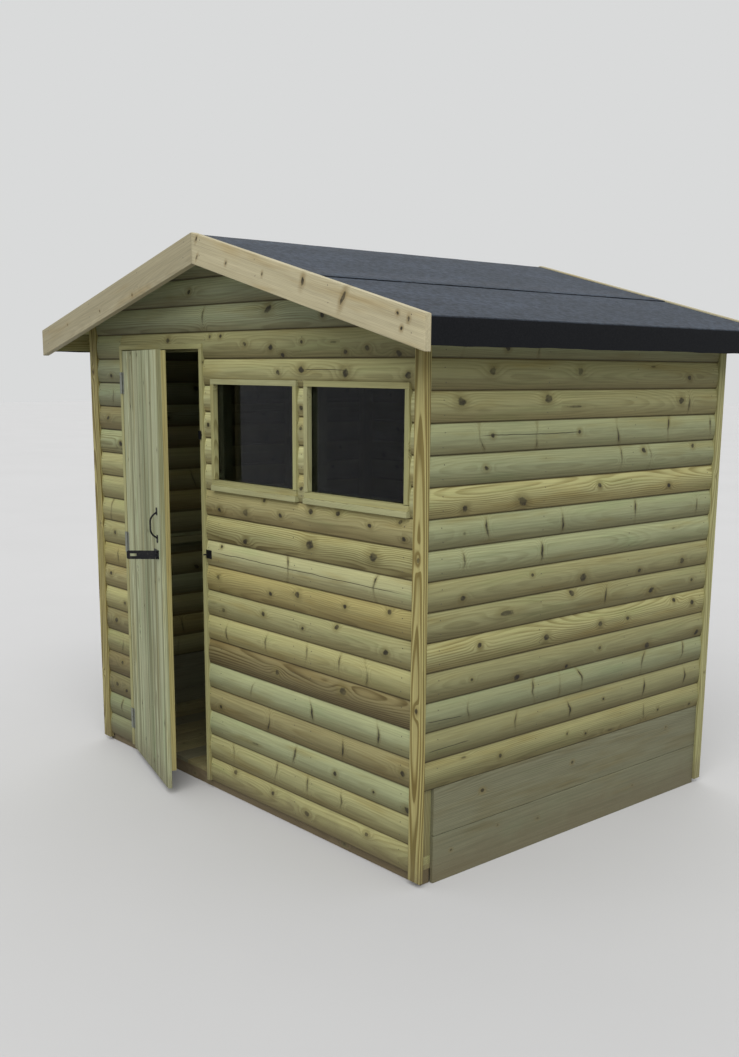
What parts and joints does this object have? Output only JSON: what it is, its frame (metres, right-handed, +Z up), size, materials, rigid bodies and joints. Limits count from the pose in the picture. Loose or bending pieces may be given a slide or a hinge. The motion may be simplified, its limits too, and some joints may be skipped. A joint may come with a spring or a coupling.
{
  "type": "garden shed",
  "caption": "Timber garden shed with an apex felt roof, log-shaped overlapping boards, an outward door on butt hinges and fixed windows beside it.",
  "frame": {"origin": "on the ground below the middle of the floor, at the underside of the middle bearer", "axes": "+X across the front to the right as seen from the front, +Y from the door wall to the rear wall, +Z up"},
  "size_m": [2.7222, 2.2705, 2.445],
  "materials": {
    "batten_wood": "planed",
    "door_wood": "planed",
    "black_iron": "black painted",
    "trim_wood": "planed",
    "roof_wood": "planed",
    "felt": "mineral felt",
    "bearer_wood": "sawn",
    "floor_wood": "planed",
    "barge_wood": "planed",
    "clad_wood": "rough sawn",
    "corner_wood": "planed",
    "frame_wood": "sawn",
    "zinc_steel": "zinc plated",
    "plinth_wood": "sawn",
    "pane": "clear"
  },
  "bodies": {
    "shed": {"door_stops": "trim_wood", "door_trim": "trim_wood", "eaves_fascias": "roof_wood", "felt_left": "felt", "felt_ridge": "felt", "felt_right": "felt", "floor_bearers": "bearer_wood", "floor_boards": "floor_wood", "front_bargeboards": "barge_wood", "front_cladding_below_windows": "clad_wood", "front_cladding_left": "clad_wood", "front_cladding_over_door": "clad_wood", "front_cladding_over_windows": "clad_wood", "front_corner_boards": "corner_wood", "front_framing": "frame_wood", "front_gable": "clad_wood", "front_window_piers": "clad_wood", "hasp_staple": "black_iron", "hinge_frame_leaves": "zinc_steel", "left_cladding": "clad_wood", "left_framing": "frame_wood", "rear_bargeboards": "barge_wood", "rear_cladding": "clad_wood", "rear_corner_boards": "corner_wood", "rear_framing": "frame_wood", "rear_gable": "clad_wood", "right_cladding": "clad_wood", "right_framing": "frame_wood", "roof_boards_left": "roof_wood", "roof_boards_right": "roof_wood", "roof_timbers": "frame_wood", "side_plinths": "plinth_wood", "turn_button_pivot": "black_iron", "window_left_frame": "trim_wood", "window_panes": "pane", "window_right_frame": "trim_wood"},
    "door": {"door_boards": "door_wood", "door_battens": "batten_wood", "hinge_door_leaves": "zinc_steel", "door_handle": "black_iron", "hasp_plate": "black_iron"},
    "hasp_flap": {"hasp_flap": "black_iron"},
    "turn_button": {"turn_button": "black_iron"}
  },
  "joints": [
    {"name": "door_hinge", "type": "hinge", "parent": "shed", "child": "door", "pos_m": [-0.8815, -0.929, 1.077], "axis": [0, 0, -1], "range_deg": [-16.8, 133.2]},
    {"name": "hasp_hinge", "type": "hinge", "parent": "door", "child": "hasp_flap", "pos_m": [-0.31037, -1.10457, 1.101], "axis": [0, 0, -1], "range_deg": [-114, 66]},
    {"name": "turn_button_pivot", "type": "hinge", "parent": "shed", "child": "turn_button", "pos_m": [-0.212, -0.9305, 1.62505], "axis": [0, -1, 0], "range_deg": [0, 90]}
  ]
}
